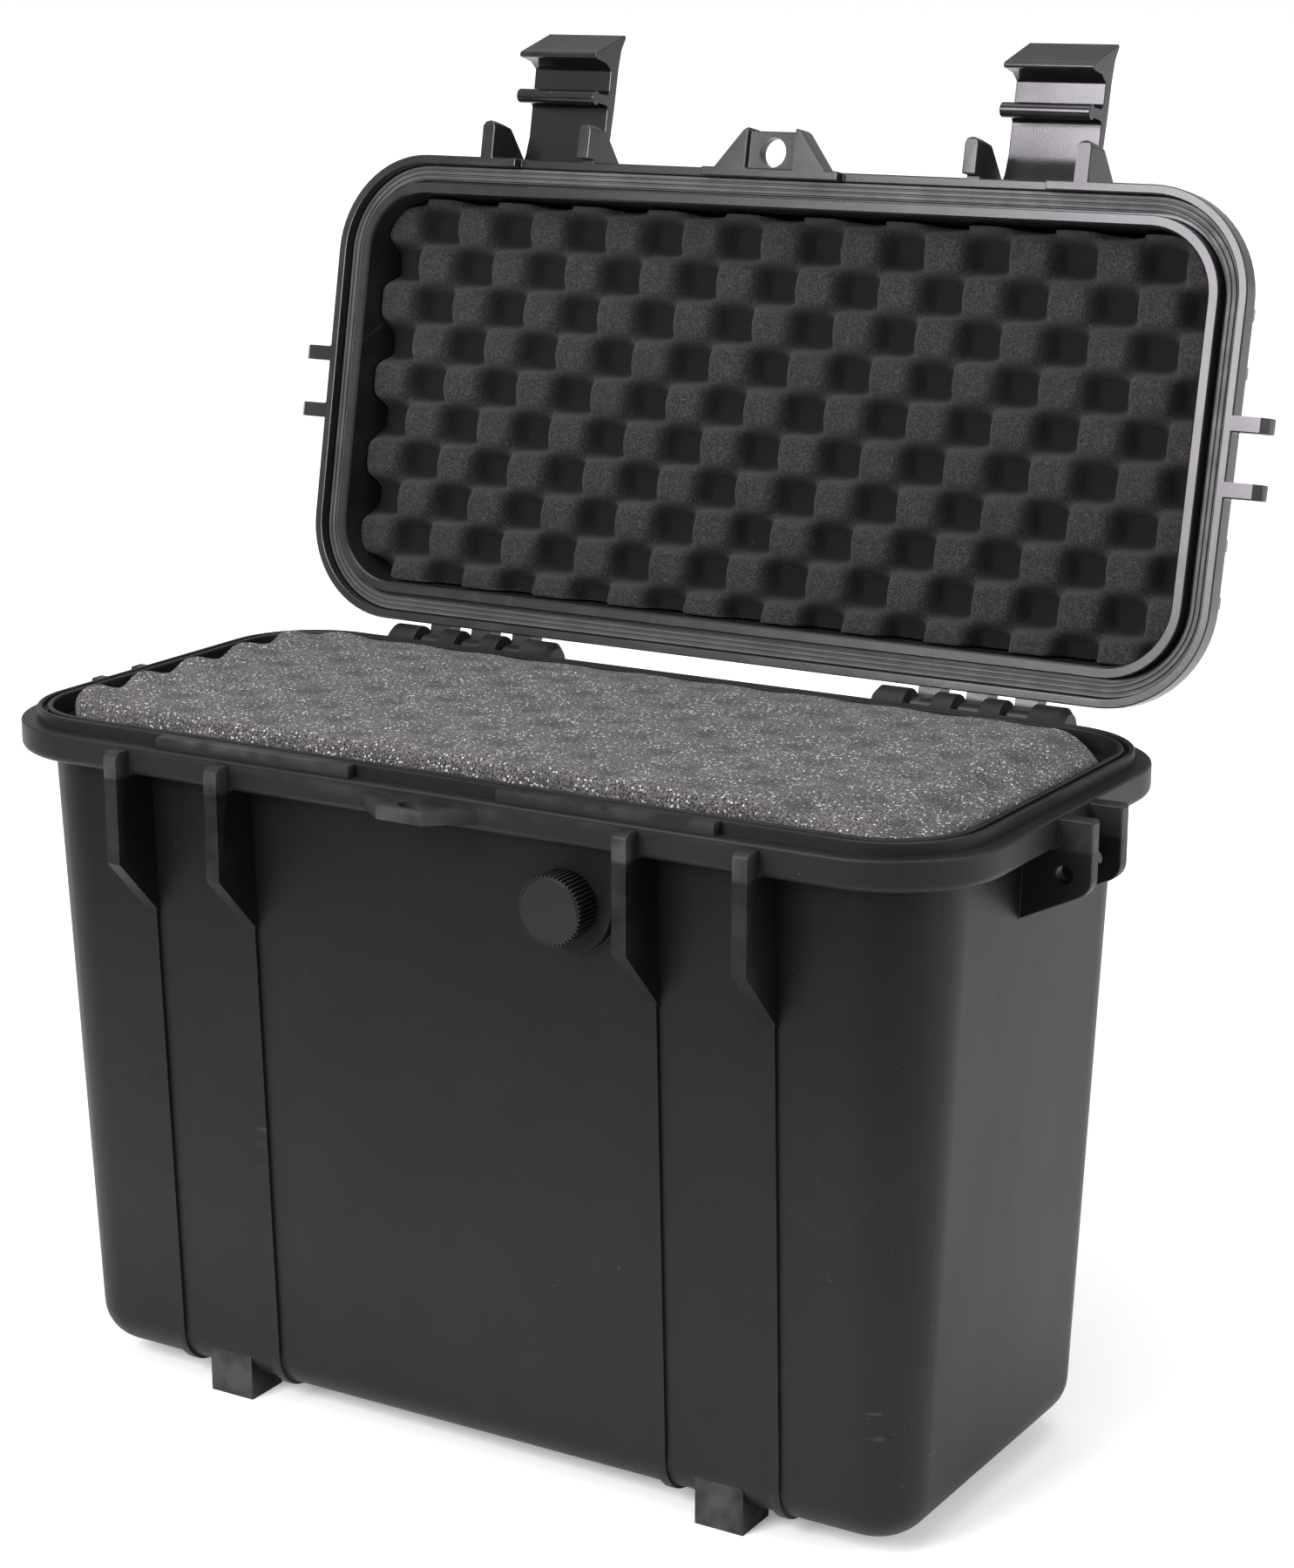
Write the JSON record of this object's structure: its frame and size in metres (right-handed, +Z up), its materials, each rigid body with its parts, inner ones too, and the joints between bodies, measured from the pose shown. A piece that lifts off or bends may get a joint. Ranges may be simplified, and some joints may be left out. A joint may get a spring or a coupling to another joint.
{
  "type": "hard equipment case",
  "caption": "Tall moulded equipment case with a hinged lid standing open, front latches, a pressure valve, a top handle and foam in the lid and tub.",
  "frame": {"origin": "centre of the open object's bounding box at the level of its feet", "axes": "+X along the case to the viewer's right, -Y the front with the latches and valve, +Y the hinge side, +Z up"},
  "size_m": [0.432, 0.3002, 0.5058],
  "materials": {
    "tub_plastic": "satin moulded ABS",
    "lid_plastic": "satin moulded ABS",
    "latch_plastic": "smooth moulded nylon",
    "knob_plastic": "satin",
    "seal_rubber": "satin",
    "foam_dark": "open-cell foam",
    "foam_light": "open-cell foam",
    "pin_steel": "drawn",
    "brass": "turned"
  },
  "bodies": {
    "case": {"tub_shell": "tub_plastic", "hinge_pin_left": "pin_steel", "hinge_pin_right": "pin_steel", "valve_insert": "brass", "foam_upper": "foam_light", "foam_middle": "foam_light", "foam_lower": "foam_light", "foam_base_pad": "foam_light", "foam_top_sheet": "foam_light"},
    "lid": {"lid_shell": "lid_plastic", "lid_gasket": "seal_rubber", "latch_pin_left": "pin_steel", "latch_pin_right": "pin_steel", "handle_pin_left": "pin_steel", "handle_pin_right": "pin_steel", "lid_foam": "foam_dark"},
    "latch_left": {"latch_left": "latch_plastic"},
    "latch_right": {"latch_right": "latch_plastic"},
    "handle": {"handle": "latch_plastic"},
    "valve_carrier": {"valve_o_ring": "seal_rubber"},
    "valve_knob": {"valve_knob": "knob_plastic", "valve_stem": "brass"}
  },
  "joints": [
    {"name": "lid_hinge", "type": "hinge", "parent": "case", "child": "lid", "pos_m": [0, 0.06635, 0.2601], "axis": [1, 0, 0], "range_deg": [0, 101.2]},
    {"name": "latch_left_turn", "type": "hinge", "parent": "lid", "child": "latch_left", "pos_m": [-0.1088, 0.12251, 0.45052], "axis": [1, 0, 0], "range_deg": [0, 90]},
    {"name": "latch_right_turn", "type": "hinge", "parent": "lid", "child": "latch_right", "pos_m": [0.1088, 0.12251, 0.45052], "axis": [1, 0, 0], "range_deg": [0, 90]},
    {"name": "handle_swing", "type": "hinge", "parent": "lid", "child": "handle", "pos_m": [0, 0.14098, 0.35333], "axis": [1, 0, 0], "range_deg": [-11, 168.5]},
    {"name": "valve_out", "type": "slide", "parent": "case", "child": "valve_carrier", "axis": [0, -1, 0], "range_m": [0, 0.0015]},
    {"name": "valve_turn", "type": "hinge", "parent": "valve_carrier", "child": "valve_knob", "pos_m": [0.0543, -0.1296, 0.2275], "axis": [0, -1, 0], "range_deg": [0, 360]}
  ],
  "couplings": [
    {"joint": "valve_out", "follows": "valve_turn", "m_per_rad": 0.00023873}
  ]
}
